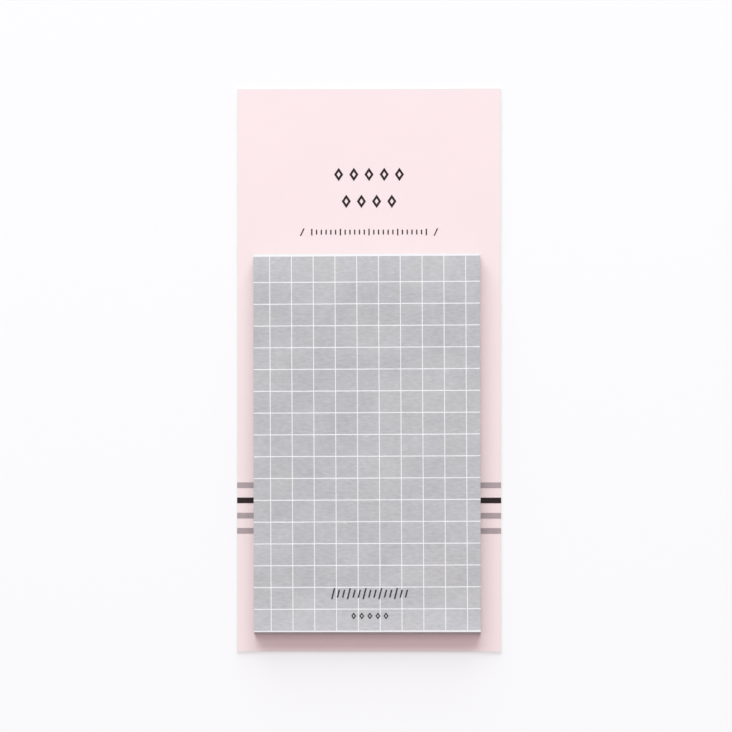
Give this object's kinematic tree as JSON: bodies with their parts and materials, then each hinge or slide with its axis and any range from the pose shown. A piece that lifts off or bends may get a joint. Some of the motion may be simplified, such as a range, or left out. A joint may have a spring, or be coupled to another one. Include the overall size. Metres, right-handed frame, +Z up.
{
  "type": "daily planner pad",
  "caption": "Squared sticky memo pad stuck flat on the lower part of a tall printed backing card with stripes and plain ornament.",
  "frame": {"origin": "centre of the backing card's underside, on the surface that the card lies on", "axes": "+X to the card's right-hand edge, +Y to the card's head edge, +Z up out of the sheets"},
  "size_m": [0.0608, 0.1298, 0.0039],
  "materials": {
    "card_board": "matt printed pale pink",
    "memo_paper": "uncoated white",
    "square_ink": "matt cool grey print",
    "stripe_ink": "matt warm grey print",
    "black_ink": "matt black print",
    "sheet_ink": "matt dark grey print"
  },
  "bodies": {
    "root": {"backing_card": "card_board", "black_stripe": "black_ink", "grey_stripes": "stripe_ink", "head_diamonds": "black_ink", "hour_scale": "black_ink", "sheet_stack": "memo_paper", "squared_print": "square_ink", "foot_hatching": "sheet_ink", "foot_diamonds": "sheet_ink"}
  },
  "joints": []
}
